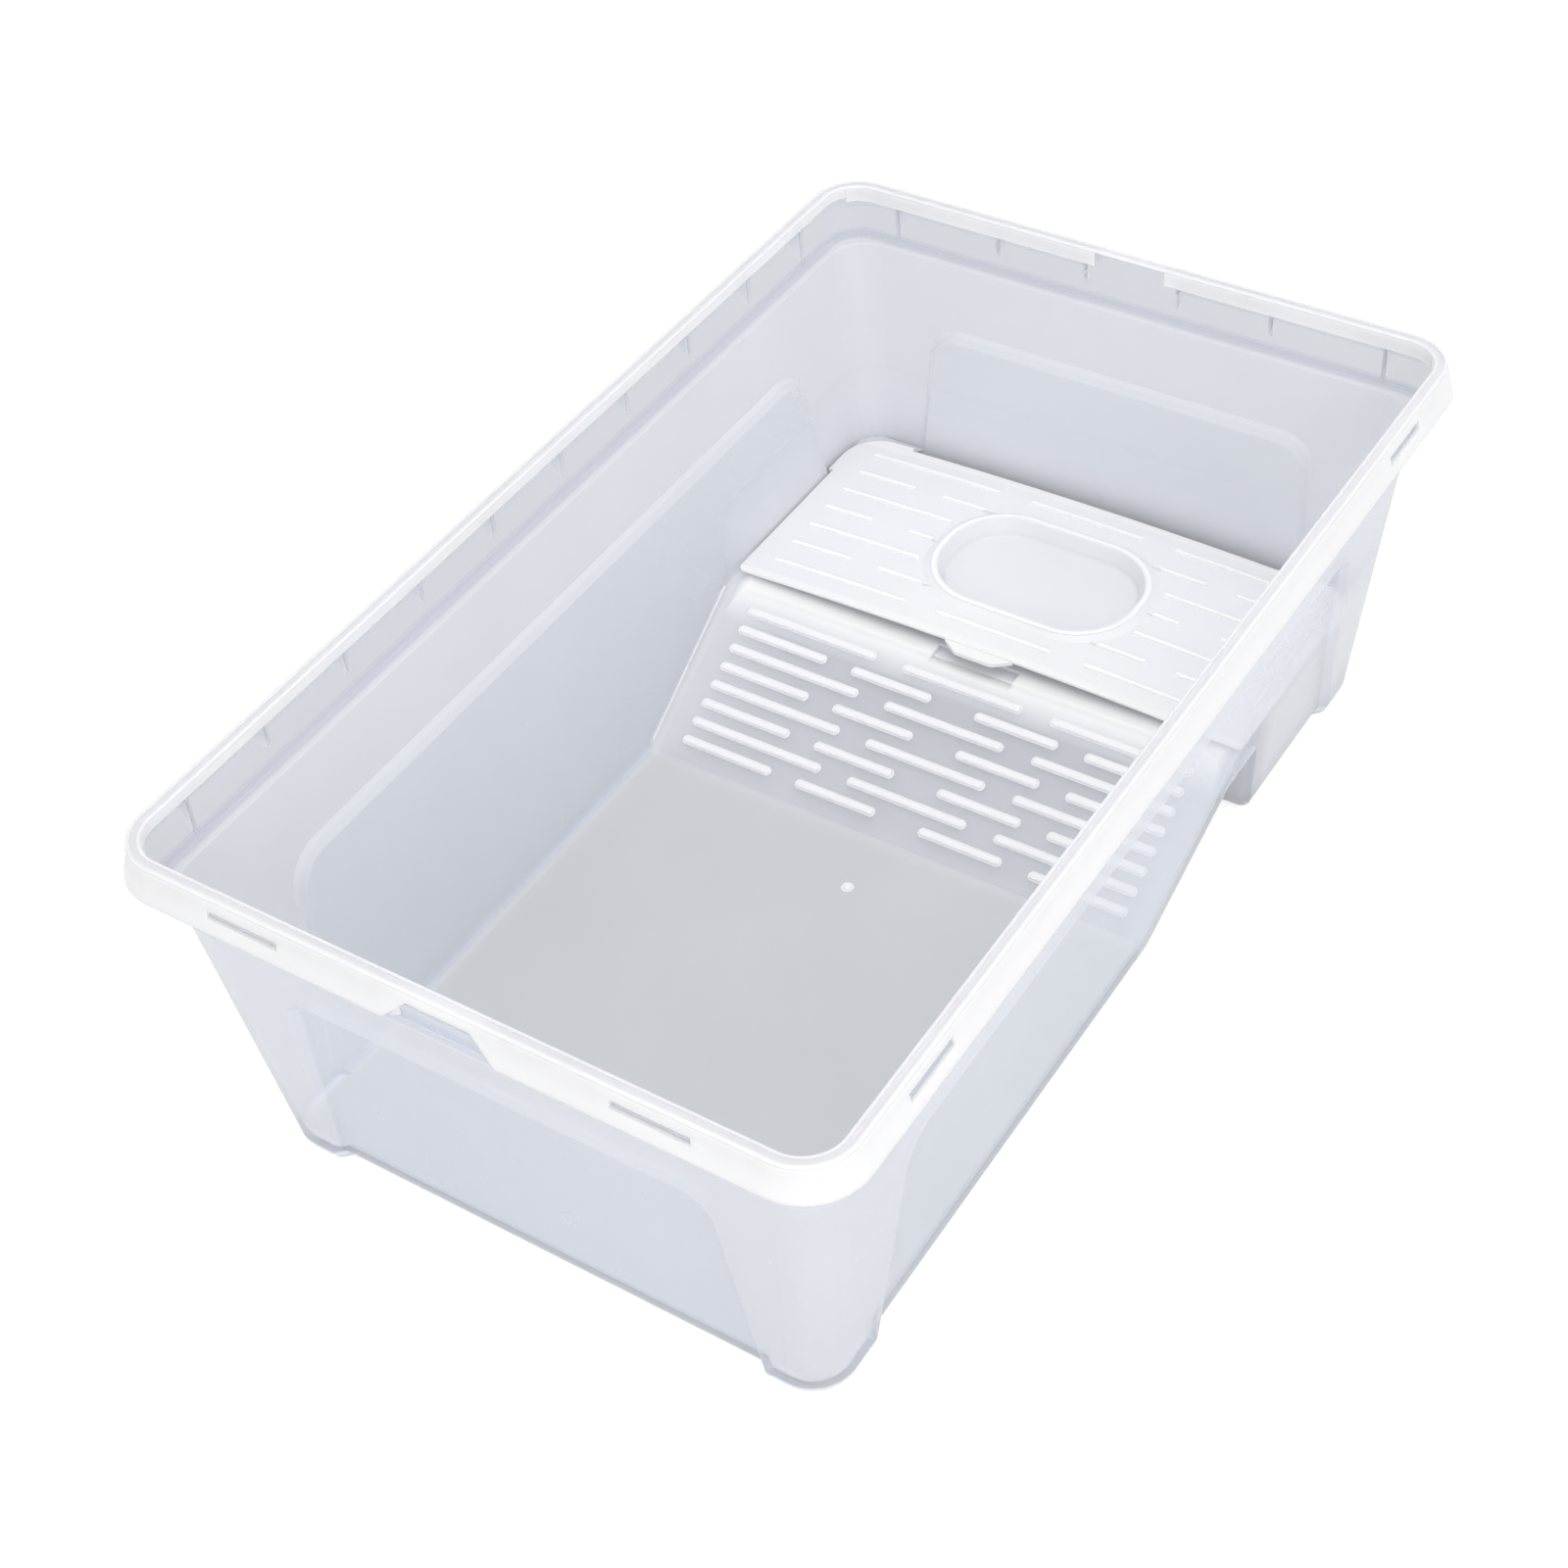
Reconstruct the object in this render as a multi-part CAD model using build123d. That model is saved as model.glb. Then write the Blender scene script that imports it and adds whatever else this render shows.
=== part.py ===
from build123d import *
from math import atan, degrees, sqrt
import os

# Turtle tank, in millimetres. +X is the end with the basking platform, +Z is up, and the origin is the
# middle of the base on the surface that the tank stands on.

# Rim
rim_height = 151.4
rim_inner_length = 433.6
rim_inner_width = 260.0
rim_inner_radius = 14.0
rim_flange_width = 4.7
rim_flange_thickness = 2.0
rim_edge_radius = 0.9
groove_inset = 1.2
groove_width = 2.2
groove_depth = 0.7
skirt_height = 13.0
skirt_draft = 3.5 / 13.0
skirt_thickness = 1.7

# Upper band of the walls, and the shoulder on which it stands
wall = 1.8
band_draft = 0.025
shoulder_height = 129.2
ledge_radius = 1.0

# Walls below the shoulder. The corner posts stand proud of the recessed panels.
post_length = 402.0
post_width = 227.8
post_draft = 0.098
post_radius = 16.0
post_edge_radius = 4.0
panel_length = 396.6
panel_width = 222.4
panel_draft = 0.085
panel_edge_radius = 6.0
edge_band = 25.0
inner_edge_radius = 4.0
floor_top = 3.2
foot_height = 0.8
foot_gap = 2.0

# Recessed panels: half widths at the base and at the top, height and corner radius
long_panel = (170.0, 157.5, 93.0, 12.0)
short_panel = (87.5, 80.0, 95.5, 9.0)
panel_side_angle = 45.0
panel_overlap = 7.0
panel_clearance = 6.0
post_shell = 5.0

# Ramp, ridge and the compartment behind it
ramp_start = 23.0
ramp_slope = 0.545
deck_height = 40.0
deck_end = 106.5
plate = 2.4
front_wall_draft = 0.1
bend_radius = 12.0
ridge_radius = 1.5
notch_width = 36.0
notch_depth = 2.0
notch_end = 97.0

# Anti-slip ribs across the ramp. Each span is from and to a distance from the centre line.
ramp_rib_first = 82.3
ramp_rib_pitch = 7.35
ramp_rib_width = 3.0
ramp_rib_height = 1.2
ramp_rib_draft = 14.0
ramp_rib_rows = [[(-26.0, 26.0), (39.2, 98.6)], [(10.2, 45.5), (58.0, 98.6)]]
ramp_row_count = 8

# Gussets that hold the skirt
gusset_thickness = 1.8
gusset_drop = 4.0
gusset_toe = 1.2
long_gussets = [21.0, 63.0, 105.0, 147.0]
short_gussets = [20.0, 59.5]
long_full_gusset = 186.0
short_full_gusset = 106.0

# Openings in the skirt: slots, and latch cut-outs in the short sides, which are given by their half widths
# and the heights above the skirt's lower edge
latch_outline = [(21.3, 0.0), (17.2, 3.8), (12.0, 8.7)]
short_slot = (62.3, 90.4, 143.9, 146.7)
long_slot = (153.8, 178.8, 143.3, 146.9)

# How deep joined pieces reach into each other, how far cuts run past a face, and a width past the tank
overlap = 0.5
clear = 1.0
far_out = 20.0

# Small marks of the moulding gates
floor_gate = (-4.0, 0.7)
gate_radius = 1.6
gate_height = 0.6
ring_place = (-17.0, 37.0)
ring_radii = (3.0, 2.2)
ring_height = 0.4

# Rests that carry the back of the platform
rest_size = 28.0
rest_thickness = 2.0
rest_height = 39.8

# Basking platform
lid_front = 95.3
lid_back = 194.0
lid_width = 224.0
lid_corner_step = 1.9
lid_corner_side = 168.5
lid_corner_end = 88.0
lid_back_radius = 16.0
lid_front_radius = 2.5
lid_least_radius = 0.4
lid_edge_height = 43.0
lid_crown = 3.0
lid_edge_thickness = 2.7
lid_thickness = 1.8
lid_border = 3.6
lid_end_radius = 2.4
tongue_root = 30.0
tongue_tip = 16.0
tongue_reach = 5.0
tongue_radius = 5.0
tongue_drop = 0.6
tongue_thickness = 1.8

# Feeding dish in the platform
dish_centre = 145.4
dish_size = (55.0, 86.0)
dish_radius = 25.0
dish_crest = 47.4
dish_depth = 7.0
dish_draft = 3.0 / 7.0
dish_flare = 5.0
dish_flare_fall = 2.2
dish_flare_depth = 3.0
dish_crest_width = 1.6
dish_floor_radius = 2.0

# Raised strips on the platform, parallel to its front edge
strip_first = 106.5
strip_pitch = 13.0
strip_width = 1.5
strip_height = 0.8
strip_rows = [
    [(-25.5, 25.5), (40.0, 101.0)],
    [(36.0, 60.0), (73.0, 101.0)],
    [(48.0, 101.0)],
    [(47.0, 61.0), (79.0, 101.0)],
    [(48.0, 101.0)],
    [(36.0, 60.0), (73.0, 101.0)],
    [(-25.5, 25.5), (40.0, 101.0)],
]


def angle_of(slope):
    return degrees(atan(slope))


def sides(shape):
    """A shape and its copies mirrored over to the other three quarters of the tank."""
    both = Part() + shape + mirror(shape, Plane.YZ)
    return both + mirror(both, Plane.XZ)


def both_sides(spans):
    """Spans across the tank, with each one that keeps off the centre line repeated on the other side."""
    for low, high in spans:
        yield low, high
        if low > 0:
            yield -high, -low


def slab(x_range, y_range, z_range):
    """A plain block between the given limits, for cutting."""
    size = [high - low for low, high in (x_range, y_range, z_range)]
    centre = [(high + low) / 2 for low, high in (x_range, y_range, z_range)]
    return Pos(*centre) * Box(*size)


def profile_block(points, rounded=()):
    """A block across the whole width of the tank with the given outline in the X-Z plane.

    rounded lists the radii of its corners in order, with 0 for a sharp one.
    """
    outline = make_face(Polyline(*[(x, 0, z) for x, z in points], close=True))
    for (x, z), radius in zip(points, rounded):
        if radius:
            outline = fillet(outline.vertices().sort_by_distance((x, 0, z))[0], radius)
    return extrude(outline, amount=rim_inner_width / 2 + far_out, both=True)


def leaning_block(length, width, bottom, top, draft, radius):
    """A block with rounded corners whose walls lean outwards from its bottom face."""
    base = Plane.XY.offset(bottom) * Rectangle(length, width)
    block = extrude(base, amount=top - bottom, taper=-angle_of(draft))
    corners = [edge for edge in block.edges() if abs(edge.tangent_at(0.5).Z) > 0.5]
    return fillet(corners, radius)


def flared_block(outset, radius, top, bottom, draft):
    """A block with the rim's outline plus outset at its top face, flared down to its bottom face."""
    length = rim_inner_length + 2 * outset
    width = rim_inner_width + 2 * outset
    face = Plane.XY.offset(top) * RectangleRounded(length, width, radius)
    return extrude(face, amount=top - bottom, dir=(0, 0, -1), taper=-angle_of(draft))


def band_block(outset, bottom, top):
    """The upper band of the walls: a block that narrows a little from the rim to the shoulder."""
    shrink = 2 * band_draft * (rim_height - bottom)
    return leaning_block(
        rim_inner_length + 2 * outset - shrink,
        rim_inner_width + 2 * outset - shrink,
        bottom,
        top,
        band_draft,
        rim_inner_radius + outset,
    )


def panel_cutter(outline, distance, grow, facing):
    """The block that cuts a recessed panel. It is wider by grow on each edge, and flares outwards."""
    half_base, half_top, top, radius = outline
    slant = (half_base - half_top) / top
    below = panel_clearance
    if facing == "long":
        plane = Plane((0, -distance, 0), x_dir=(1, 0, 0), z_dir=(0, -1, -panel_draft))
    else:
        plane = Plane((-distance, 0, 0), x_dir=(0, -1, 0), z_dir=(-1, 0, -panel_draft))
    spread = grow - panel_overlap
    corners = [
        (-half_base - spread - slant * below, -below),
        (half_base + spread + slant * below, -below),
        (half_top + spread, top + spread),
        (-half_top - spread, top + spread),
    ]
    face = make_face(Polyline(*corners, close=True))
    face = fillet(face.vertices().group_by(Axis.Y)[-1], radius + spread)
    face = plane.offset(-panel_overlap) * face
    return extrude(face, amount=panel_overlap + panel_clearance, taper=-panel_side_angle)


def wall_block(inset, core_bottom, post_bottom, top, lift, edge_radius):
    """The solid within the faces of the lower walls, drawn in by inset, with panels between corner posts.

    lift is taken out from below: it is the room under the ramp and the deck, or their own solid.
    """
    core = leaning_block(
        panel_length - 2 * inset + 2 * panel_draft * core_bottom,
        panel_width - 2 * inset + 2 * panel_draft * core_bottom,
        core_bottom,
        top,
        panel_draft,
        post_radius - inset,
    )
    core -= lift
    core = round_underside(core, edge_radius)
    posts = leaning_block(
        post_length - 2 * inset + 2 * post_draft * post_bottom,
        post_width - 2 * inset + 2 * post_draft * post_bottom,
        post_bottom,
        top,
        post_draft,
        post_radius - inset,
    )
    posts = fillet(posts.faces().sort_by(Axis.Z)[0].edges(), post_edge_radius)
    posts -= leaning_block(
        panel_length - 2 * inset - 2 * post_shell,
        panel_width - 2 * inset - 2 * post_shell,
        core_bottom,
        top + clear,
        panel_draft,
        post_radius - inset,
    )
    long_cut = panel_cutter(long_panel, panel_width / 2 - inset, inset, "long")
    short_cut = panel_cutter(short_panel, panel_length / 2 - inset, inset, "short")
    posts -= [long_cut, mirror(long_cut, Plane.XZ), short_cut, mirror(short_cut, Plane.YZ)]
    return core + posts


def round_underside(core, radius):
    """Rounds the bend of the ramp, the bottom edges, and the edges where the ramp meets the sides."""
    across = core.edges().filter_by(Axis.Y).filter_by_position(Axis.X, 0.0, ramp_start + bend_radius)
    core = fillet([edge for edge in across if edge.center().Z < deck_height / 2], bend_radius)
    half_length, half_width = panel_length / 2 - edge_band, panel_width / 2 - edge_band
    low = [
        edge
        for edge in core.edges()
        if edge.bounding_box().max.Z < deck_height - plate - clear
        and (abs(edge.center().Y) > half_width or abs(edge.center().X) > half_length)
    ]
    return fillet(low, radius)


def ramp_line(drop):
    """The ramp's surface, moved down square to itself by drop: a function from x to z."""
    fall = drop * sqrt(1 + ramp_slope**2)
    return lambda x: floor_top + ramp_slope * (x - ramp_start) - fall


def ramp_reach(line, z):
    """The x at which a ramp line reaches height z."""
    return (z - line(0)) / ramp_slope


def front_wall(offset, z):
    """The x of the compartment's front wall at height z, offset towards the ramp."""
    return deck_end - offset + front_wall_draft * (deck_height - z)


def room_under_ramp():
    """The open wedge under the ramp and the deck, in front of the compartment."""
    under = ramp_line(plate)
    low, high = foot_height - panel_clearance, deck_height - plate
    return profile_block(
        [
            (ramp_reach(under, low), low),
            (ramp_reach(under, high), high),
            (front_wall(plate, high), high),
            (front_wall(plate, low), low),
        ]
    )


def ramp_and_deck():
    """The solid from the floor up to the ramp, the deck and the compartment's front wall."""
    top = ramp_line(0.0)
    low = floor_top - panel_clearance
    return profile_block(
        [
            (ramp_reach(top, low), low),
            (ramp_reach(top, deck_height), deck_height),
            (deck_end, deck_height),
            (front_wall(0.0, low), low),
        ],
        rounded=(0, ridge_radius, ridge_radius, 0),
    )


def foot_clearance():
    """The shallow room under the walls and the floor between the four corner feet."""
    half_length, half_width = long_panel[0] + foot_gap, short_panel[0] + foot_gap
    under = (-clear, foot_height)
    return [
        slab((-half_length, half_length), (-rim_inner_width, rim_inner_width), under),
        slab((-rim_inner_length, rim_inner_length), (-half_width, half_width), under),
    ]


def rim_skirt():
    """The rolled rim: a flat flange with a groove, and a skirt that flares down and outwards."""
    skirt_bottom = rim_height - skirt_height
    outer_radius = rim_inner_radius + rim_flange_width
    skirt = flared_block(rim_flange_width, outer_radius, rim_height, skirt_bottom, skirt_draft)
    skirt = fillet(skirt.faces().sort_by(Axis.Z)[-1].edges(), rim_edge_radius)
    hollow_top = rim_height - rim_flange_thickness
    hollow_outset = rim_flange_width + skirt_draft * rim_flange_thickness - skirt_thickness
    hollow_radius = rim_inner_radius + hollow_outset
    hollow = flared_block(hollow_outset, hollow_radius, hollow_top, skirt_bottom - clear, skirt_draft)
    return skirt - hollow


def rim_groove():
    """The shallow groove along the top of the flange."""
    level = Plane.XY.offset(rim_height - groove_depth)
    sizes = []
    for outset in (groove_inset + groove_width, groove_inset):
        length, width = rim_inner_length + 2 * outset, rim_inner_width + 2 * outset
        sizes.append(level * RectangleRounded(length, width, rim_inner_radius + outset))
    return extrude(sizes[0] - sizes[1], amount=groove_depth + clear)


def gusset(distance, full):
    """The outline of one gusset under the flange, in the plane across the wall, and its thickness."""
    skirt_bottom = rim_height - skirt_height
    inside = distance + wall / 2
    flange_edge = distance + rim_flange_width - skirt_thickness / 2
    skirt_edge = flange_edge + skirt_draft * (skirt_height - overlap)
    foot = shoulder_height - wall / 2 if full else skirt_bottom - gusset_drop
    points = [
        (inside, rim_height - rim_flange_thickness / 2),
        (flange_edge, rim_height - rim_flange_thickness / 2),
        (skirt_edge, skirt_bottom + overlap),
        (inside + gusset_toe, foot),
        (inside - overlap, foot),
    ]
    return points


def gussets():
    """The small gussets along all four sides, and the full-height ones beside each corner."""
    ribs = []
    for x in long_gussets + [long_full_gusset]:
        points = gusset(rim_inner_width / 2, x == long_full_gusset)
        face = make_face(Polyline(*[(x, y, z) for y, z in points], close=True))
        ribs.append(extrude(face, amount=gusset_thickness / 2, both=True))
    for y in short_gussets + [short_full_gusset]:
        points = gusset(rim_inner_length / 2, y == short_full_gusset)
        face = make_face(Polyline(*[(x, y, z) for x, z in points], close=True))
        ribs.append(extrude(face, amount=gusset_thickness / 2, both=True))
    return sides(Part() + ribs)


def skirt_openings():
    """The latch cut-outs in the short sides and the slots near the corners."""
    skirt_bottom = rim_height - skirt_height
    inside = rim_flange_width - skirt_thickness
    reach = (rim_inner_length / 2 + inside, rim_inner_length / 2 + far_out)
    mouth = [(latch_outline[0][0], -clear)] + latch_outline
    points = [(-half, rise) for half, rise in mouth] + [(half, rise) for half, rise in reversed(mouth)]
    face = make_face(Polyline(*[(reach[0], y, skirt_bottom + rise) for y, rise in points], close=True))
    latch = extrude(face, amount=reach[1] - reach[0], dir=(1, 0, 0))
    short = slab(reach, short_slot[:2], short_slot[2:])
    across = (rim_inner_width / 2 + inside, rim_inner_width / 2 + far_out)
    long = slab(long_slot[:2], across, long_slot[2:])
    return [latch, mirror(latch, Plane.YZ), sides(short), sides(long)]


def level_loop(solid, height, length, width):
    """The edges of a solid that lie level at a height, inside an outline of the given length and width."""
    level = solid.edges().filter_by_position(Axis.Z, height - overlap, height + overlap)
    half_length, half_width = length / 2 + overlap, width / 2 + overlap
    return [
        edge
        for edge in level
        if edge.bounding_box().size.Z < overlap
        and edge.bounding_box().max.X < half_length
        and edge.bounding_box().min.X > -half_length
        and edge.bounding_box().max.Y < half_width
        and edge.bounding_box().min.Y > -half_width
    ]


def ramp_ribs():
    """The anti-slip ribs: rounded bars across the ramp, in rows that are staggered by turns."""
    stretch = sqrt(1 + ramp_slope**2)
    plane = Plane(
        (ramp_start, 0, floor_top), x_dir=(0, -1, 0), z_dir=(-ramp_slope / stretch, 0, 1 / stretch)
    )
    bars = []
    for row in range(ramp_row_count):
        along = (ramp_rib_first - ramp_rib_pitch * row - ramp_start) * stretch
        for low, high in both_sides(ramp_rib_rows[row % 2]):
            bars.append(Pos((low + high) / 2, along) * SlotOverall(high - low, ramp_rib_width))
    face = plane.offset(-overlap) * (Sketch() + bars)
    return extrude(face, amount=ramp_rib_height + overlap, taper=ramp_rib_draft)


def platform_rests():
    """Two triangular shelves in the back corners of the compartment, which carry the platform's back."""
    corner_x, corner_y = post_length / 2 + clear, post_width / 2 + clear
    points = [(corner_x - rest_size, corner_y), (corner_x, corner_y), (corner_x, corner_y - rest_size)]
    face = Plane.XY.offset(rest_height - rest_thickness) * make_face(Polyline(*points, close=True))
    shelf = extrude(face, amount=rest_thickness)
    return Part() + shelf + mirror(shelf, Plane.XZ)


def finger_notch():
    """The notch in the ridge under the platform's tongue."""
    ridge = ramp_reach(ramp_line(0.0), deck_height)
    half = notch_width / 2
    return slab(
        (ridge - notch_depth / ramp_slope - clear, notch_end),
        (-half, half),
        (deck_height - notch_depth, deck_height + clear),
    )


def gate_marks():
    """The gate's nub on the floor and the small ring on the panel of the deep end."""
    nub = extrude(Pos(*floor_gate, floor_top - overlap) * Circle(gate_radius), amount=gate_height + overlap)
    y, z = ring_place
    wall_x = -panel_length / 2 - panel_draft * z
    plane = Plane((wall_x, y, z), x_dir=(0, -1, 0), z_dir=(-1, 0, -panel_draft))
    face = plane.offset(-overlap) * (Circle(ring_radii[0]) - Circle(ring_radii[1]))
    return [nub, extrude(face, amount=ring_height + overlap)]


def make_tub():
    outer = wall_block(0.0, foot_height, 0.0, shoulder_height, room_under_ramp(), panel_edge_radius)
    outer -= foot_clearance()
    outer += band_block(wall, shoulder_height - wall, rim_height)
    outer += rim_skirt()
    outer += gussets()
    inner = wall_block(wall, floor_top, floor_top, shoulder_height, ramp_and_deck(), inner_edge_radius)
    inner -= platform_rests()
    inner += band_block(0.0, shoulder_height, rim_height + clear)
    lean = 2 * post_draft * shoulder_height - 2 * wall
    ledge = level_loop(inner, shoulder_height, post_length + lean, post_width + lean)
    inner = fillet(ledge, ledge_radius)
    tub = outer - inner
    tub = fillet(level_loop(tub, rim_height, rim_inner_length, rim_inner_width), rim_edge_radius)
    tub -= [rim_groove()] + skirt_openings()
    tub -= finger_notch()
    tub += ramp_ribs()
    tub += gate_marks()
    return tub


def crown_radius():
    """The radius of the platform's arch, from its width and the height of its crown."""
    half = lid_width / 2
    return (half**2 + lid_crown**2) / (2 * lid_crown)


def arched_block(rise, drop):
    """The room between two arched surfaces: rise above the platform's top, and drop below it."""
    radius = crown_radius()
    centre = lid_edge_height + lid_crown - radius
    ring = Pos(0, centre) * (Circle(radius + rise) - Circle(radius - drop))
    ring &= Pos(0, lid_edge_height) * Rectangle(lid_width + far_out, 2 * far_out)
    length = lid_back - lid_front + 2 * far_out
    return Pos(lid_front - far_out, 0, 0) * extrude(Plane.YZ * ring, amount=length, dir=(1, 0, 0))


def platform_outline(inset):
    """The platform seen from above, drawn in by inset, and its back corners, which stand out further."""
    front, back, half = lid_front + inset, lid_back - inset, lid_width / 2 - inset
    face = Pos((front + back) / 2, 0) * Rectangle(back - front, 2 * half)
    face = fillet(face.vertices().group_by(Axis.X)[0], max(lid_front_radius - inset, lid_least_radius))
    face = fillet(face.vertices().group_by(Axis.X)[-1], lid_back_radius - inset)
    step = lid_corner_step
    corner_side, corner_end = lid_corner_side + inset, lid_corner_end + inset
    length, width = back + step - corner_side, half + step - corner_end
    corner = Pos(corner_side + length / 2, corner_end + width / 2) * Rectangle(length, width)
    far = corner.vertices().group_by(Axis.X)[-1].sort_by(Axis.Y)[-1]
    corner = fillet(far, lid_back_radius - inset)
    return face, corner + mirror(corner, Plane.XZ)


def upright(face, bottom=deck_height - 20.0, top=deck_height + 30.0):
    """A face seen from above, made a tall block."""
    return extrude(Plane.XY.offset(bottom) * face, amount=top - bottom)


def tongue():
    """The finger tongue in the middle of the platform's front edge."""
    root, tip = tongue_root / 2, tongue_tip / 2
    back, front = lid_front + lid_border, lid_front - tongue_reach
    points = [(back, -root), (lid_front, -root), (front, -tip), (front, tip), (lid_front, root), (back, root)]
    face = make_face(Polyline(*points, close=True))
    face = fillet(face.vertices().group_by(Axis.X)[0], tongue_radius)
    return upright(face) & arched_block(-tongue_drop, tongue_drop + tongue_thickness)


def dish_block(outset, bottom, top, draft):
    """A block with the dish's outline plus outset at its bottom face, widening by draft upwards."""
    length, width = dish_size[0] + 2 * outset, dish_size[1] + 2 * outset
    face = Pos(dish_centre, 0) * RectangleRounded(length, width, dish_radius + outset)
    return extrude(Plane.XY.offset(bottom) * face, amount=top - bottom, taper=-angle_of(draft))


def dish_parts():
    """The dish's crest, which flares down into the plate, its cup and the hollow inside it."""
    floor = dish_crest - dish_depth
    inset = dish_draft * dish_depth
    crest = dish_crest_width / 2
    hollow = dish_block(-inset - crest, floor, dish_crest + clear, dish_draft)
    hollow = fillet(hollow.faces().sort_by(Axis.Z)[0].edges(), dish_floor_radius)
    cup_bottom = floor - lid_thickness
    cup = dish_block(-inset - crest + lid_thickness, cup_bottom, dish_crest, dish_draft)
    cup = fillet(cup.faces().sort_by(Axis.Z)[0].edges(), dish_floor_radius)
    flare_draft = dish_flare / dish_flare_fall
    face = RectangleRounded(dish_size[0] + 2 * crest, dish_size[1] + 2 * crest, dish_radius + crest)
    face = Pos(dish_centre, 0, dish_crest) * face
    flare = extrude(face, amount=dish_flare_depth, dir=(0, 0, -1), taper=-angle_of(flare_draft))
    return flare, cup, hollow


def strips():
    """The raised strips on the platform: rows parallel to its front edge, with gaps around the dish."""
    bars = []
    for row, spans in enumerate(strip_rows):
        x = strip_first + strip_pitch * row
        for low, high in both_sides(spans):
            bars.append(Pos(x, (low + high) / 2) * Rot(0, 0, 90) * SlotOverall(high - low, strip_width))
    return upright(Sketch() + bars) & arched_block(strip_height, lid_thickness / 2)


def make_platform():
    face, corners = platform_outline(0.0)
    platform = upright(face) & arched_block(0.0, lid_edge_thickness)
    ends = platform.edges().filter_by(Axis.X).group_by(Axis.Z)[0]
    platform = fillet(ends, lid_end_radius)
    platform += upright(corners) & arched_block(0.0, lid_edge_thickness)
    face, corners = platform_outline(lid_border)
    platform -= upright(face + corners) & arched_block(-lid_thickness, lid_edge_thickness + clear)
    flare, cup, hollow = dish_parts()
    platform += tongue()
    platform += flare
    platform += cup
    platform += strips()
    platform -= hollow
    return platform


os.makedirs("parts", exist_ok=True)
for name, piece in (("tub", make_tub()), ("basking_platform", make_platform())):
    print(name, piece.is_valid, len(piece.solids()), piece.bounding_box().size)
    export_step(piece, f"parts/{name}.step")
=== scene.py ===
import bpy
import bmesh
from functools import reduce
from math import cos, hypot, radians, sin
from mathutils import Matrix, Vector

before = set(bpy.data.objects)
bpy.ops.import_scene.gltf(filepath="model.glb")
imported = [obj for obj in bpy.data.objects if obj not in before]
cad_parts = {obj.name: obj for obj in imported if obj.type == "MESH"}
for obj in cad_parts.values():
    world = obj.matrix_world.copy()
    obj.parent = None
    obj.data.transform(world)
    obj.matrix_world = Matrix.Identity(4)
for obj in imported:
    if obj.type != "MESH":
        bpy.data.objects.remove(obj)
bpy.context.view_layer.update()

bl_info = {
    "name": "Turtle tank",
    "version": (1, 0, 0),
    "blender": (4, 5, 0),
    "location": "View3D > Sidebar > Turtle tank",
    "description": "Dresses a moulded turtle tank and its lift-off basking platform, and sets its stage",
    "category": "Object",
}

# The tub's measures in millimetres, from the middle of its foot. A pair is a lowest and a highest value.
PANEL_LEAN = 0.085
LONG_PANEL, LONG_PANEL_END = (108.5, 111.65), 178.0
SHORT_PANEL, SHORT_PANEL_END = (196.0, 198.75), 95.0
# The band, whose darker colour is painted shade from the flange over it
BAND = (129.4, 152.0)
# The ledge's top and the band's foot, where a shadow line is painted
LEDGE, LEDGE_REACH = (128.4, 131.2), 11.0
# Where the walls round the compartment are painted lighter and more opaque
STORE_START, STORE_TOP = 104.0, 58.0
# Top of the floor, whose grey is painted shade
FLOOR_TOP = 3.5
WALL_FOOT_TOP, LONG_FOOT, SHORT_FOOT = 4.0, 109.6, 196.5
RAMP_START, RAMP_START_HEIGHT, RAMP_SLOPE = 23.0, 3.2, 0.545
RAMP_STRETCH = hypot(1.0, RAMP_SLOPE)
RAMP_LENGTH, RAMP_SIDE, RAMP_TOP, RAMP_DEPTH = (23.0, 91.0), 110.5, 41.0, 3.5
# Where the deck's painted light lies, and how fast it fades in along the ramp
DECK_START, DECK_FADE, DECK_END, DECK_SIDE = 83.5, 0.3, 107.0, 107.0
DECK_HEIGHTS = (30.0, 42.0)
RIBBED_LENGTH, RIBBED_SIDE, RIB_HEIGHTS = (28.0, 86.0), 101.0, (0.15, 2.5)
RIB_FIRST, RIB_PITCH = 82.3, 7.35
RIB_FOOT, RIB_FOOT_LENGTH = 2.0, (28.4, 84.8)
RAMP_EDGE_LENGTH = (25.0, 86.0)
# The ramp's thick end at the long walls, and a painted highlight line along the fillet above it
RAMP_END, RAMP_END_HEIGHTS = (110.3, 112.5), (-3.5, 1.0)
RAMP_HIGHLIGHT, RAMP_HIGHLIGHT_HEIGHTS = (108.9, 110.0), (1.4, 2.6)
GATE_X, GATE_Y, GATE_RADIUS, GATE_TOP = -4.2, 0.7, 2.5, 5.0
TUB_CORE, TUB_CORE_SIZE = (0.0, 0.0), (202.8, 116.0)
RIM_REACH, RIM_TOP = 16.0, 150.5
# How far down the band the skirt's white is painted, as painted light over the shaded skirt behind it
LONG_ROOT, SHORT_ROOT, ROOT_CORNER, CUT_OUT = 146.8, 144.6, 212.0, 15.0

# The platform's measures in millimetres
CROWN_HEIGHT, ARCH_RADIUS = 46.0, 2092.0
DISH_CORE, DISH_CORE_SIZE = (145.4, 0.0), (2.5, 18.0)
DISH_REACH, DISH_TOP = 24.0, 42.0
CREST_REACH, CREST_HALF_WIDTH = 25.8, 0.9
FRONT_BORDER, BACK_BORDER = 98.5, 190.5
STRIP_FIRST, STRIP_PITCH, STRIP_MIDDLE_ROW = 106.5, 13.0, 3.0
STRIP_FOOT, STRIP_CLEARANCE = 1.1, 32.0

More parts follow.
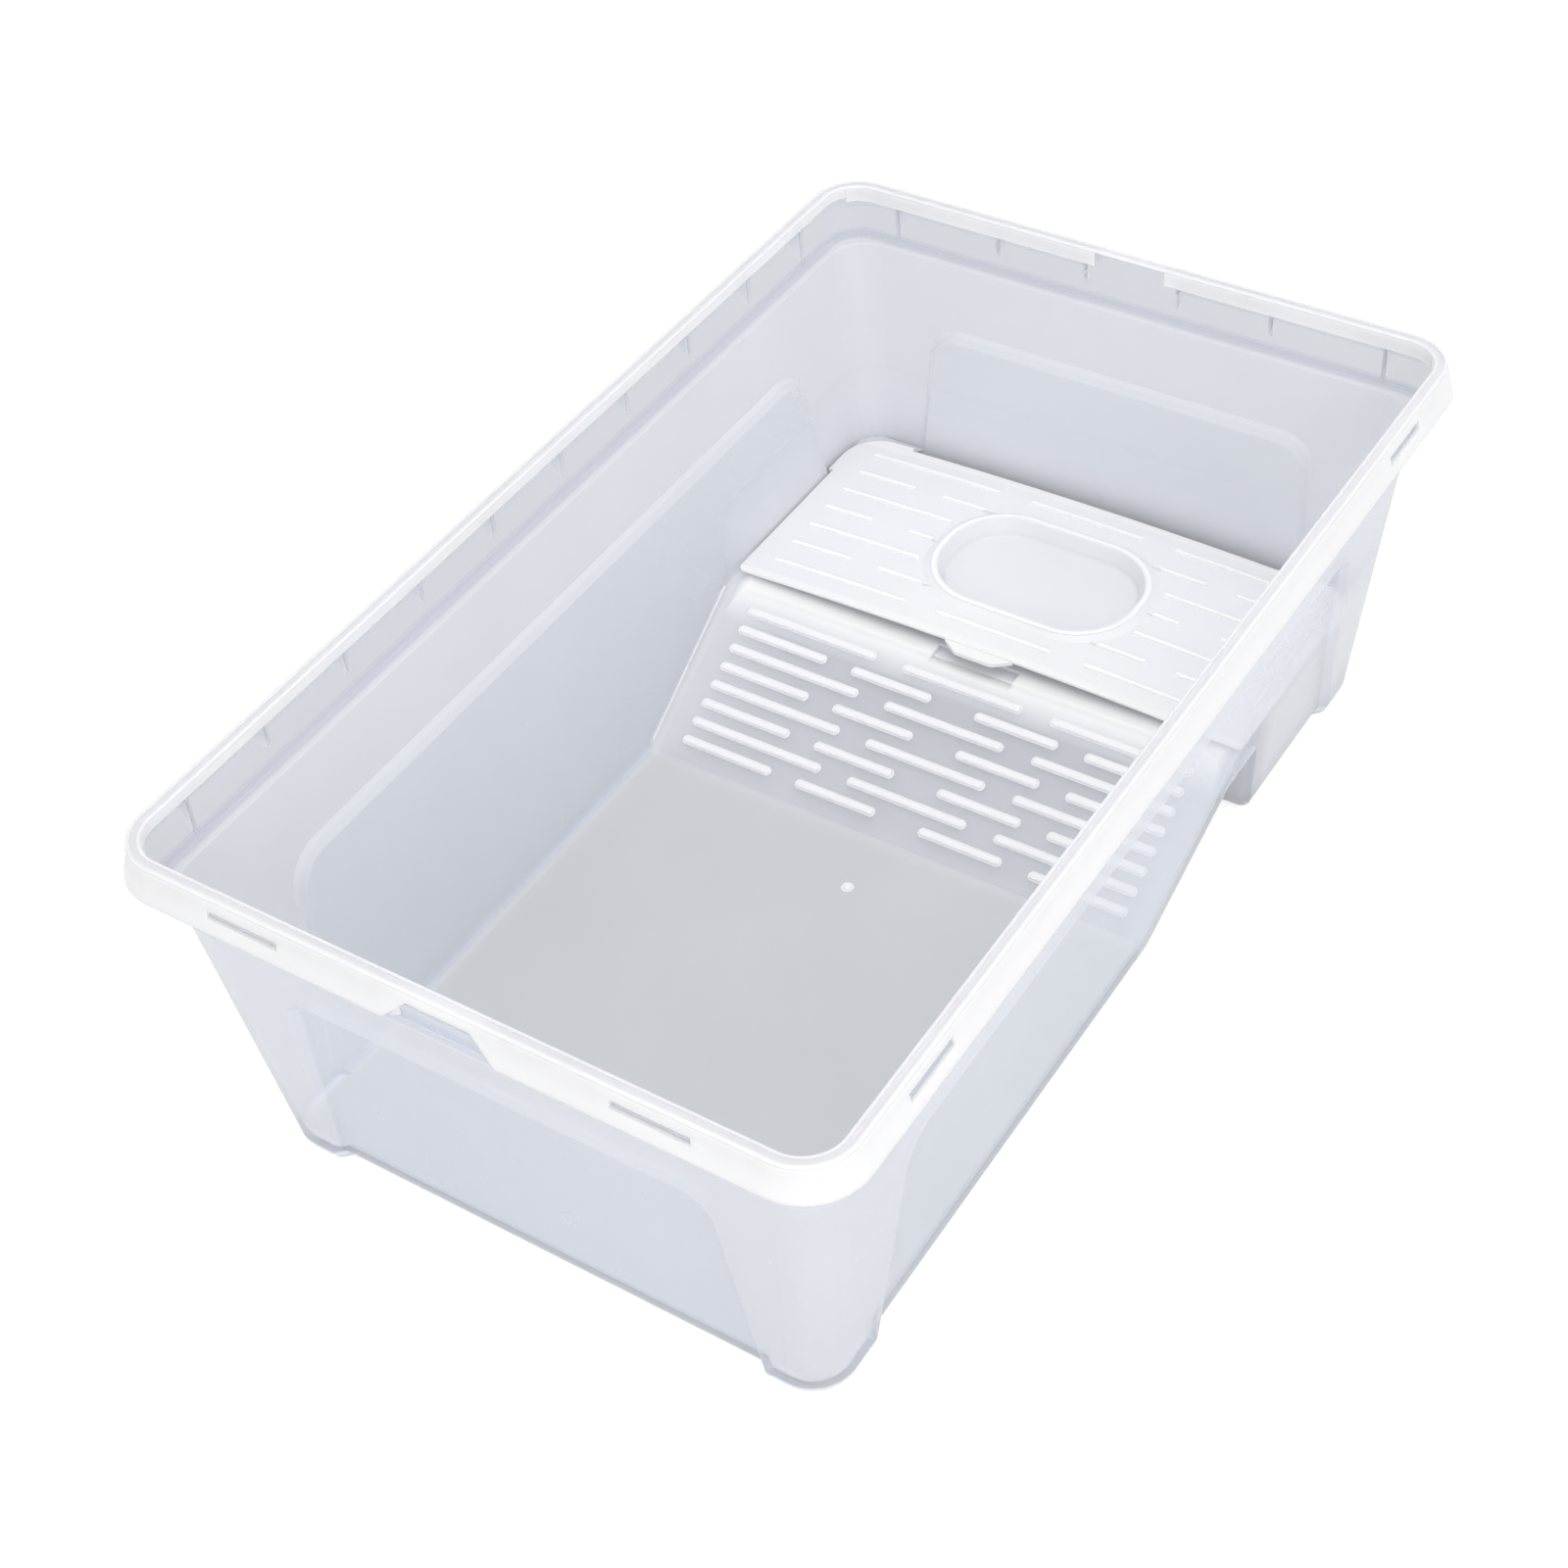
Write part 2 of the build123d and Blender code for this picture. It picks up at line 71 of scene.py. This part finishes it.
# Each kind of row, with its bars beside the middle, between the centres of their round ends
RIB_ROWS = (
    ((-24.5, 24.5), (40.7, 97.1)),
    ((11.7, 44.0), (59.5, 97.1)),
)
STRIP_ROWS = (
    ((47.8, 60.2), (79.8, 100.2)),
    ((48.8, 100.2),),
    ((36.8, 59.2), (73.8, 100.2)),
    ((-24.8, 24.8), (40.8, 100.2)),
)
# How far down the bars' feet are painted, and a length greater than any on the tank
FOOT_DEPTH, FAR = 0.5, 1000.0

# The plastic's finish, with widths and heights in millimetres
PLASTIC_IOR = 1.49
FLOW_WIDTH, FLOW_NOISE, FLOW_TONE = 60.0, (0.3, 0.7), (0.965, 1.0)
SKIN_WIDTH, SKIN_ROUGHNESS = 1.5, (0.2, 0.3)
SWELL_WIDTH, SWELL_HEIGHT, SWELL_STRENGTH = 35.0, 1.0, 0.25
# Opacities from which light spreads a little and fully
THICK = (0.86, 0.9)

# The stage, in metres
OVERHEAD_PLACE, OVERHEAD_TARGET, OVERHEAD_SIZE = (0.2, -0.3, 1.8), (0.0, 0.0, 0.0), 1.6
FRONT_PLACE, FRONT_TARGET, FRONT_SIZE = (-1.3, -1.1, 0.7), (0.0, 0.0, 0.1), 1.2
PAINT_ROUGHNESS = 0.9
SENSOR_WIDTH = 36.0


def linear(code):
    """A linear colour from an sRGB hex code."""
    channels = [int(code[i : i + 2], 16) / 255 for i in (0, 2, 4)]
    return [c / 12.92 if c <= 0.04045 else ((c + 0.055) / 1.055) ** 2.4 for c in channels]


def mm(value):
    """Millimetres as metres."""
    return value / 1000


def colour_property(name, description, code):
    return bpy.props.FloatVectorProperty(
        name=name,
        description=description,
        subtype="COLOR",
        size=3,
        min=0.0,
        max=1.0,
        default=linear(code),
    )


def share_property(name, description, value):
    return bpy.props.FloatProperty(
        name=name, description=description, subtype="FACTOR", min=0.0, max=1.0, default=value
    )


class TankPlasticSettings(bpy.types.PropertyGroup):
    post_colour: colour_property("Posts", "Colour of the corner posts and of the upper walls", "e9ecf3")
    post_opacity: share_property("Posts' opacity", "How much each face of the posts hides", 0.4)
    panel_colour: colour_property("Panels", "Colour of the recessed panels", "e1e7f2")
    panel_opacity: share_property("Panels' opacity", "How much each face of the panels hides", 0.32)
    # The band's darker, bluer colour is painted shade from the flange over it
    band_painted_shade_colour: colour_property("Band", "Colour of the upper band of the walls", "dae1ed")
    band_opacity: share_property("Band's opacity", "How much each face of the upper band hides", 0.22)
    # The ledge's colour is a painted shadow: a dark line on the ledge's top and the band's foot
    ledge_painted_shade_colour: colour_property("Ledge", "Colour of the ledge at the foot of the band", "c9cfdf")
    ledge_opacity: share_property("Ledge's opacity", "How much each face of the ledge hides", 0.42)
    # The floor's grey is painted shade: it stands for the shaded table seen through the floor
    floor_painted_shade_colour: colour_property("Floor", "Colour of the tank's floor", "dadcdf")
    floor_opacity: share_property("Floor's opacity", "How much each face of the floor hides", 0.75)
    foot_opacity: share_property("Walls' foot", "How much each face of the walls' foot hides", 0.97)
    ramp_colour: colour_property("Ramp", "Colour of the ramp over open air", "eceff5")
    ramp_opacity: share_property("Ramp's opacity", "How much each face of the ramp hides", 0.4)
    # The deck's white is painted light on the ramp's top and in the shade under the platform's front edge
    deck_painted_light_colour: colour_property("Deck", "Colour of the ramp's top and of the deck behind it", "ffffff")
    deck_opacity: share_property("Deck's opacity", "How much each face of the deck hides", 0.96)
    # The walls round the compartment are painted lighter and more opaque: painted light over the shade inside
    # and behind them
    store_painted_light_colour: colour_property("Store", "Colour of the walls round the compartment", "eef0f6")
    store_opacity: share_property("Store's opacity", "How much each face round the compartment hides", 0.68)
    # The ribs' white, also painted on the gate, on the ribs' feet and on the ramp's ends, where it is partly
    # painted highlight
    rib_and_highlight_colour: colour_property("Ribs", "Colour of the thick ribs on the ramp", "f4f4f8")
    rib_opacity: share_property("Ribs' opacity", "How much each face of the ribs hides", 0.98)
    # The skirt is painted lighter than the rim's top, and its white is painted on the band where the shaded
    # skirt shows through: painted light
    rim_painted_light_colour: colour_property("Rim", "Colour of the rim's skirt", "f8f7fb")
    rim_opacity: share_property("Rim's opacity", "How much each face of the rim hides", 0.9)
    # The rim's top is painted darker than the skirt: painted shade that offsets the stronger light on the top
    rim_top_painted_shade_colour: colour_property("Rim's top", "Colour of the rim's flat top", "e9e9ee")
    lid_colour: colour_property("Platform", "Colour of the basking platform", "f9f9fc")
    lid_opacity: share_property("Platform's opacity", "How much each face of the platform hides", 0.84)
    border_opacity: share_property("Borders' opacity", "How much each face of the borders hides", 0.92)
    dish_colour: colour_property("Dish", "Colour of the dish's floor", "f3f4f8")
    dish_opacity: share_property("Dish's opacity", "How much each face of the dish's floor hides", 0.82)
    strip_colour: colour_property("Strips", "Colour of the platform's strips, borders and crest", "ffffff")
    strip_opacity: share_property("Strips' opacity", "How much each face of the strips hides", 0.98)
    scatter: bpy.props.FloatProperty(
        name="Scatter", description="How far light spreads inside the tub", default=mm(4.0), unit="LENGTH"
    )
    lid_scatter: bpy.props.FloatProperty(
        name="Platform's scatter",
        description="How far light spreads inside the platform",
        default=mm(4.0) / 6,
        unit="LENGTH",
    )


class TankStageSettings(bpy.types.PropertyGroup):
    paint_colour: colour_property("Floor", "Colour of the plain floor", "d0d0d0")
    floor_size: bpy.props.FloatProperty(
        name="Floor size", description="Length of the floor's sides", default=8.0, unit="LENGTH"
    )
    floor_lift: share_property("Floor lift", "Light that lifts the floor to white where it is seen", 0.58)
    sky_strength: bpy.props.FloatProperty(
        name="Sky", description="Strength of the light all round", default=0.85
    )
    sky_behind: bpy.props.FloatProperty(
        name="Sky behind", description="Strength of the sky seen through the plastic", default=0.5
    )
    top_power: bpy.props.FloatProperty(
        name="Top light", description="Power of the softbox above, in watts", default=10.0
    )
    front_power: bpy.props.FloatProperty(
        name="Front light", description="Power of the softbox in front, in watts", default=11.0
    )
    camera_azimuth: bpy.props.FloatProperty(
        name="Azimuth",
        description="Direction of the camera round the tank",
        default=radians(-53.78),
        subtype="ANGLE",
    )
    camera_elevation: bpy.props.FloatProperty(
        name="Elevation",
        description="Height of the camera above the horizon",
        default=radians(43.84),
        subtype="ANGLE",
    )
    camera_roll: bpy.props.FloatProperty(
        name="Roll",
        description="Turn of the camera about its line of sight",
        default=radians(-5.24),
        subtype="ANGLE",
    )
    camera_place: bpy.props.FloatVectorProperty(
        name="Camera place",
        description="Where the camera stands",
        default=(-0.5971, -0.4084, 0.7514),
        subtype="TRANSLATION",
    )
    camera_lens: bpy.props.FloatProperty(
        name="Lens", description="Focal length in millimetres", default=63.15, subtype="DISTANCE_CAMERA"
    )


def add_node(tree, kind, values=None, links=None, **settings):
    """Adds a node, with values for its inputs and links from other nodes' outputs."""
    node = tree.nodes.new(kind)
    for name, value in settings.items():
        setattr(node, name, value)
    for name, value in (values or {}).items():
        node.inputs[name].default_value = value
    for name, output in (links or {}).items():
        tree.links.new(output, node.inputs[name])
    return node


def new_material(name):
    material = bpy.data.materials.new(name)
    material.use_nodes = True
    material.node_tree.nodes.clear()
    return material


class Measure:
    """A length in millimetres that changes from place to place. Each sum with it adds a Math node."""

    def __init__(self, tree, output):
        self.tree, self.output = tree, output

    def sum(self, operation, *terms):
        values = {i: term for i, term in enumerate(terms) if not isinstance(term, Measure)}
        links = {i: term.output for i, term in enumerate(terms) if isinstance(term, Measure)}
        node = add_node(self.tree, "ShaderNodeMath", values, links, operation=operation)
        return Measure(self.tree, node.outputs[0])

    def __add__(self, other):
        return self.sum("ADD", self, other)

    def __sub__(self, other):
        return self.sum("SUBTRACT", self, other)

    def __rsub__(self, other):
        return self.sum("SUBTRACT", other, self)

    def __mul__(self, other):
        return self.sum("MULTIPLY", self, other)

    def __truediv__(self, other):
        return self.sum("DIVIDE", self, other)

    def __abs__(self):
        return self.sum("ABSOLUTE", self)


def most(*measures):
    """The greatest of some measures: below 0 only where all of them are."""
    return reduce(lambda one, other: one.sum("MAXIMUM", one, other), measures)


def least(*measures):
    """The least of some measures: below 0 where any of them is."""
    return reduce(lambda one, other: one.sum("MINIMUM", one, other), measures)


def between(measure, low, high):
    """Below 0 where a measure lies between two values."""
    return most(low - measure, measure - high)


def distance(one, other):
    """How far a place is from a point, from its distances in two directions square to each other."""
    squares = one * one + other * other
    return squares.sum("SQRT", squares)


def bars(along, pitch, kind_of, kinds, beside, radius):
    """Below 0 on bars with round ends, in rows a pitch apart.

    kind_of gives the kind of a row from its number, and kinds gives each kind's bars beside the middle.
    """
    row = along / pitch
    number = row.sum("ROUND", row)
    kind = kind_of(number)
    past_end = [
        least(*(between(beside, *bar) for bar in kinds[place])) + abs(kind - place) * FAR
        for place in range(len(kinds))
    ]
    return distance(most(least(*past_end), 0.0), (row - number) * pitch) - radius


def moulded(name, base, regions, scatter, core_centre, core_size):
    """Polypropylene, injection moulded and not coloured: milky, so that what lies behind shows softly
    through thin walls and hardly through thick ones, with a soft sheen from the satin mould.

    The regions function gets the distances x, y, z and reach, which is the distance from a flat core, and
    gives regions as a measure that is below 0 inside, the width of its soft edge, a colour and an opacity.
    """
    material = new_material(name)
    tree = material.node_tree
    place = add_node(tree, "ShaderNodeTexCoord").outputs["Object"]
    axes = add_node(tree, "ShaderNodeSeparateXYZ", links={"Vector": place}).outputs
    x, y, z = (Measure(tree, axes[axis]) * 1000 for axis in "XYZ")
    past_x = most(abs(x - core_centre[0]) - core_size[0], 0.0)
    past_y = most(abs(y - core_centre[1]) - core_size[1], 0.0)
    reach = distance(past_x, past_y)
    colour, opacity = base
    tone, alpha = None, None
    for measure, soft, region_colour, region_opacity in regions(x, y, z, reach):
        mask = add_node(
            tree,
            "ShaderNodeMapRange",
            {"From Min": soft / 2, "From Max": -soft / 2},
            {"Value": measure.output},
        ).outputs[0]
        blend = add_node(
            tree, "ShaderNodeMix", {"B": (*region_colour, 1.0)}, {"Factor": mask}, data_type="RGBA"
        )
        share = add_node(tree, "ShaderNodeMapRange", {"To Max": region_opacity}, {"Value": mask})
        if tone is None:
            blend.inputs["A"].default_value = (*colour, 1.0)
            share.inputs["To Min"].default_value = opacity
        else:
            tree.links.new(tone, blend.inputs["A"])
            tree.links.new(alpha, share.inputs["To Min"])
        tone, alpha = blend.outputs["Result"], share.outputs[0]
    # The melt's flow leaves slow changes of tone, about 60 mm across
    flow = add_node(
        tree, "ShaderNodeTexNoise", {"Scale": 1 / mm(FLOW_WIDTH), "Detail": 2.0}, {"Vector": place}
    )
    shade = add_node(
        tree,
        "ShaderNodeMapRange",
        {
            "From Min": FLOW_NOISE[0],
            "From Max": FLOW_NOISE[1],
            "To Min": FLOW_TONE[0],
            "To Max": FLOW_TONE[1],
        },
        {"Value": flow.outputs["Fac"]},
    )
    tone = add_node(
        tree,
        "ShaderNodeMix",
        {"Factor": 1.0},
        {"A": tone, "B": shade.outputs[0]},
        data_type="RGBA",
        blend_type="MULTIPLY",
    ).outputs["Result"]
    # The mould's satin skin is finer than 0.1 mm, drawn at 1.5 mm so that it shows
    skin = add_node(
        tree, "ShaderNodeTexNoise", {"Scale": 1 / mm(SKIN_WIDTH), "Detail": 3.0}, {"Vector": place}
    )
    gloss = add_node(
        tree,
        "ShaderNodeMapRange",
        {"To Min": SKIN_ROUGHNESS[0], "To Max": SKIN_ROUGHNESS[1]},
        {"Value": skin.outputs["Fac"]},
    )
    # Thin walls sink and warp as they cool, in a slow swell about 35 mm across
    swell = add_node(
        tree, "ShaderNodeTexNoise", {"Scale": 1 / mm(SWELL_WIDTH), "Detail": 1.0}, {"Vector": place}
    )
    bump = add_node(
        tree,
        "ShaderNodeBump",
        {"Strength": SWELL_STRENGTH, "Distance": mm(SWELL_HEIGHT)},
        {"Height": swell.outputs["Fac"]},
    )
    # Light spreads visibly only in thick places, which are those that hide most
    spread = add_node(
        tree, "ShaderNodeMapRange", {"From Min": THICK[0], "From Max": THICK[1]}, {"Value": alpha}
    )
    plastic = add_node(
        tree,
        "ShaderNodeBsdfPrincipled",
        {"IOR": PLASTIC_IOR, "Subsurface Radius": (1.0, 1.0, 1.0), "Subsurface Scale": scatter},
        {
            "Base Color": tone,
            "Roughness": gloss.outputs["Result"],
            "Normal": bump.outputs["Normal"],
            "Alpha": alpha,
            "Subsurface Weight": spread.outputs[0],
        },
    )
    add_node(tree, "ShaderNodeOutputMaterial", links={"Surface": plastic.outputs["BSDF"]})
    return material


def dress(node, material):
    """Gives a CAD node its material."""
    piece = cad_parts.get(node)
    if piece is None:
        raise RuntimeError(f"The frame has no node named {node}")
    for material_slot in piece.material_slots:
        material_slot.material = material


class TANK_OT_tub(bpy.types.Operator):
    """Dresses the tub in milky polypropylene"""

    bl_idname = "tank.tub"
    bl_label = "Dress the tub"

    def execute(self, context):
        p = context.scene.tank_plastic

        def regions(x, y, z, reach):
            # the walls' places, less the lean of their recessed panels
            long_wall = abs(y) - z * PANEL_LEAN
            short_wall = abs(x) - z * PANEL_LEAN
            panels = least(
                most(between(long_wall, *LONG_PANEL), abs(x) - LONG_PANEL_END),
                most(between(short_wall, *SHORT_PANEL), abs(y) - SHORT_PANEL_END),
            )
            # the ledge's top and the band's foot, past its rounded inner edge, where a painted shadow line
            # lies
            ledge = most(between(z, *LEDGE), LEDGE_REACH - reach)
            # the walls round the compartment, painted lighter and more opaque over the shade seen through
            # them, fading out over 30 mm
            store = most(STORE_START - x, z - STORE_TOP)
            wall_foot = most(z - WALL_FOOT_TOP, least(LONG_FOOT - abs(y), SHORT_FOOT - abs(x)))
            # height over the ramp, square to its slope
            height = (z - RAMP_START_HEIGHT - (x - RAMP_START) * RAMP_SLOPE) / RAMP_STRETCH
            ramp = most(
                between(x, *RAMP_LENGTH), abs(y) - RAMP_SIDE, z - RAMP_TOP, abs(height) - RAMP_DEPTH
            )
            # the deck, whose white fades in over the last 13 mm of the ramp: painted light on the ramp's top
            # and in the shade under the platform's front edge
            deck = most(
                (DECK_START - x) * DECK_FADE,
                x - DECK_END,
                abs(y) - DECK_SIDE,
                between(z, *DECK_HEIGHTS),
                -RAMP_DEPTH - height,
            )
            # the ribs, and their soft feet on the ramp, in rows that are staggered by turns; the feet are
            # painted wider than the ribs, partly to widen them and partly as painted highlight on their soft
            # edges
            ribs = most(
                between(x, *RIBBED_LENGTH), abs(y) - RIBBED_SIDE, between(height, *RIB_HEIGHTS)
            )
            down, pitch = (RIB_FIRST - x) * RAMP_STRETCH, RIB_PITCH * RAMP_STRETCH
            feet = bars(
                down, pitch, lambda row: row.sum("MODULO", row, 2.0), RIB_ROWS, abs(y), RIB_FOOT
            )
            feet = most(feet, abs(height) - FOOT_DEPTH, between(x, *RIB_FOOT_LENGTH))
            # the ramp's edges at the long walls: its thick end, painted white as thick plastic and as painted
            # highlight on the fillet, and a painted highlight line along the fillet above the joint
            ramp_end_and_highlight = most(
                between(x, *RAMP_EDGE_LENGTH),
                least(
                    most(between(long_wall, *RAMP_END), between(height, *RAMP_END_HEIGHTS)),
                    most(between(long_wall, *RAMP_HIGHLIGHT), between(height, *RAMP_HIGHLIGHT_HEIGHTS)),
                ),
            )
            gate = most(distance(x - GATE_X, y - GATE_Y) - GATE_RADIUS, z - GATE_TOP)
            # the rim, down to where the skirt's root shows through the band, but not in the latch cut-outs;
            # on the band this is painted light, the skirt's white over the shade in the gap under the flange
            rim = least(
                RIM_REACH - reach,
                most(LONG_ROOT - z, abs(x) - ROOT_CORNER),
                most(SHORT_ROOT - z, ROOT_CORNER - abs(x), CUT_OUT - abs(y)),
            )
            return [
                # the band, painted darker as shade under the flange
                (between(z, *BAND), 0.4, p.band_painted_shade_colour, p.band_opacity),
                # the ledge, painted dark as a shadow line
                (ledge, 1.6, p.ledge_painted_shade_colour, p.ledge_opacity),
                (panels, 1.2, p.panel_colour, p.panel_opacity),
                # the walls round the compartment, painted light
                (store, 30.0, p.store_painted_light_colour, p.store_opacity),
                # the floor, painted grey as the shaded table under it
                (z - FLOOR_TOP, 0.6, p.floor_painted_shade_colour, p.floor_opacity),
                (wall_foot, 1.5, p.panel_colour, p.foot_opacity),
                (ramp, 0.4, p.ramp_colour, p.ramp_opacity),
                # the deck, painted white as light
                (deck, 4.0, p.deck_painted_light_colour, p.deck_opacity),
                # the ribs and the gate, with painted highlight on the ribs' feet and the ramp's ends
                (least(ribs, feet, ramp_end_and_highlight, gate), 0.3, p.rib_and_highlight_colour, p.rib_opacity),
                # the rim's top, painted darker as shade
                (RIM_TOP - z, 0.3, p.rim_top_painted_shade_colour, p.rim_opacity),
                # the skirt and the band in front of its root, painted light
                (most(rim, z - RIM_TOP), 0.4, p.rim_painted_light_colour, p.rim_opacity),
            ]

        base = (p.post_colour, p.post_opacity)
        plastic = moulded("Milky polypropylene", base, regions, p.scatter, TUB_CORE, TUB_CORE_SIZE)
        dress("tub", plastic)
        return {"FINISHED"}


class TANK_OT_platform(bpy.types.Operator):
    """Dresses the basking platform in whiter polypropylene"""

    bl_idname = "tank.platform"
    bl_label = "Dress the platform"

    def execute(self, context):
        p = context.scene.tank_plastic

        def regions(x, y, z, reach):
            # height over the platform's arch
            height = z - CROWN_HEIGHT + y * y / (2.0 * ARCH_RADIUS)
            dish = most(reach - DISH_REACH, z - DISH_TOP)
            crest = abs(reach - CREST_REACH) - CREST_HALF_WIDTH
            borders = least(x - FRONT_BORDER, BACK_BORDER - x)
            # the strips and their soft feet, in rows that are alike on both sides of the middle one
            strips = bars(
                x - STRIP_FIRST,
                STRIP_PITCH,
                lambda row: abs(row - STRIP_MIDDLE_ROW),
                STRIP_ROWS,
                abs(y),
                STRIP_FOOT,
            )
            strips = most(strips, -FOOT_DEPTH - height, STRIP_CLEARANCE - reach)
            return [
                (dish, 1.5, p.dish_colour, p.dish_opacity),
                (borders, 2.0, p.strip_colour, p.border_opacity),
                (least(strips, crest), 0.2, p.strip_colour, p.strip_opacity),
            ]

        base = (p.lid_colour, p.lid_opacity)
        plastic = moulded(
            "White polypropylene", base, regions, p.lid_scatter, DISH_CORE, DISH_CORE_SIZE
        )
        dress("basking_platform", plastic)
        return {"FINISHED"}


def seen_directly(tree):
    """1 for rays that show the background: camera rays that have passed no plastic, mirror and glass rays."""
    path = add_node(tree, "ShaderNodeLightPath").outputs
    plain = add_node(
        tree, "ShaderNodeMath", {1: 0.5}, {0: path["Transparent Depth"]}, operation="LESS_THAN"
    )
    seen = add_node(
        tree, "ShaderNodeMath", links={0: path["Is Camera Ray"], 1: plain.outputs[0]}, operation="MULTIPLY"
    )
    for name in ("Is Glossy Ray", "Is Transmission Ray"):
        seen = add_node(
            tree, "ShaderNodeMath", links={0: seen.outputs[0], 1: path[name]}, operation="MAXIMUM"
        )
    return seen.outputs[0], path["Is Camera Ray"]


def painted_floor(colour, floor_lift):
    """Matt paint: a pale diffuse floor that takes the shadow, lifted to white where it is seen."""
    material = new_material("Matt white paint")
    tree = material.node_tree
    paint = add_node(
        tree, "ShaderNodeBsdfPrincipled", {"Base Color": (*colour, 1.0), "Roughness": PAINT_ROUGHNESS}
    )
    direct, _ = seen_directly(tree)
    strength = add_node(tree, "ShaderNodeMath", {1: floor_lift}, {0: direct}, operation="MULTIPLY")
    lift = add_node(tree, "ShaderNodeEmission", links={"Strength": strength.outputs[0]})
    both = add_node(
        tree, "ShaderNodeAddShader", links={0: paint.outputs["BSDF"], 1: lift.outputs["Emission"]}
    )
    add_node(tree, "ShaderNodeOutputMaterial", links={"Surface": both.outputs["Shader"]})
    return material


def soft_light(name, place, target, size, power):
    """A square softbox that faces its target."""
    light = bpy.data.lights.new(name, "AREA")
    light.shape = "SQUARE"
    light.size = size
    light.energy = power
    lamp = bpy.data.objects.new(name, light)
    lamp.location = place
    lamp.rotation_euler = (Vector(target) - Vector(place)).to_track_quat("-Z", "Y").to_euler()
    bpy.context.scene.collection.objects.link(lamp)


class TANK_OT_stage(bpy.types.Operator):
    """Makes the floor, the lights and the camera"""

    bl_idname = "tank.stage"
    bl_label = "Set the stage"

    def execute(self, context):
        scene, stage = context.scene, context.scene.tank_stage
        shape = bmesh.new()
        bmesh.ops.create_grid(shape, x_segments=1, y_segments=1, size=stage.floor_size / 2)
        mesh = bpy.data.meshes.new("floor")
        shape.to_mesh(mesh)
        shape.free()
        floor = bpy.data.objects.new("floor", mesh)
        mesh.materials.append(painted_floor(stage.paint_colour, stage.floor_lift))
        scene.collection.objects.link(floor)

        world = bpy.data.worlds.new("studio")
        scene.world = world
        world.use_nodes = True
        tree = world.node_tree
        tree.nodes.clear()
        direct, camera_ray = seen_directly(tree)
        strength = add_node(
            tree,
            "ShaderNodeMapRange",
            {"To Min": stage.sky_strength, "To Max": stage.sky_behind},
            {"Value": camera_ray},
        )
        strength = add_node(
            tree, "ShaderNodeMapRange", {"To Max": 1.0}, {"Value": direct, "To Min": strength.outputs[0]}
        ).outputs[0]
        sky = add_node(tree, "ShaderNodeBackground", {"Color": (1.0, 1.0, 1.0, 1.0)}, {"Strength": strength})
        add_node(tree, "ShaderNodeOutputWorld", links={"Surface": sky.outputs["Background"]})

        soft_light("overhead softbox", OVERHEAD_PLACE, OVERHEAD_TARGET, OVERHEAD_SIZE, stage.top_power)
        soft_light("front softbox", FRONT_PLACE, FRONT_TARGET, FRONT_SIZE, stage.front_power)

        camera = bpy.data.cameras.new("camera")
        camera.lens = stage.camera_lens
        camera.sensor_width = SENSOR_WIDTH
        viewer = bpy.data.objects.new("camera", camera)
        azimuth, elevation, roll = stage.camera_azimuth, stage.camera_elevation, stage.camera_roll
        back = Vector((sin(azimuth) * cos(elevation), -cos(azimuth) * cos(elevation), sin(elevation)))
        right = Vector((0.0, 0.0, 1.0)).cross(back).normalized()
        turn = Matrix((right, back.cross(right), back)).transposed() @ Matrix.Rotation(roll, 3, "Z")
        viewer.matrix_world = Matrix.LocRotScale(Vector(stage.camera_place), turn, None)
        scene.collection.objects.link(viewer)
        scene.camera = viewer
        scene.view_settings.view_transform = "Standard"
        return {"FINISHED"}


class TANK_PT_panel(bpy.types.Panel):
    """Lists the tank's settings and steps"""

    bl_label = "Turtle tank"
    bl_idname = "TANK_PT_panel"
    bl_space_type = "VIEW_3D"
    bl_region_type = "UI"
    bl_category = "Turtle tank"

    def draw(self, context):
        for settings in (context.scene.tank_plastic, context.scene.tank_stage):
            for name in settings.bl_rna.properties.keys():
                if name not in ("rna_type", "name"):
                    self.layout.prop(settings, name)
        for operator in STEPS:
            self.layout.operator(operator.bl_idname)


STEPS = (TANK_OT_tub, TANK_OT_platform, TANK_OT_stage)
CLASSES = (TankPlasticSettings, TankStageSettings, *STEPS, TANK_PT_panel)


def register():
    for item in CLASSES:
        bpy.utils.register_class(item)
    bpy.types.Scene.tank_plastic = bpy.props.PointerProperty(type=TankPlasticSettings)
    bpy.types.Scene.tank_stage = bpy.props.PointerProperty(type=TankStageSettings)


def unregister():
    del bpy.types.Scene.tank_stage
    del bpy.types.Scene.tank_plastic
    for item in reversed(CLASSES):
        bpy.utils.unregister_class(item)


def main():
    register()
    bpy.ops.tank.tub()
    bpy.ops.tank.platform()
    bpy.ops.tank.stage()


if __name__ == "__main__":
    main()
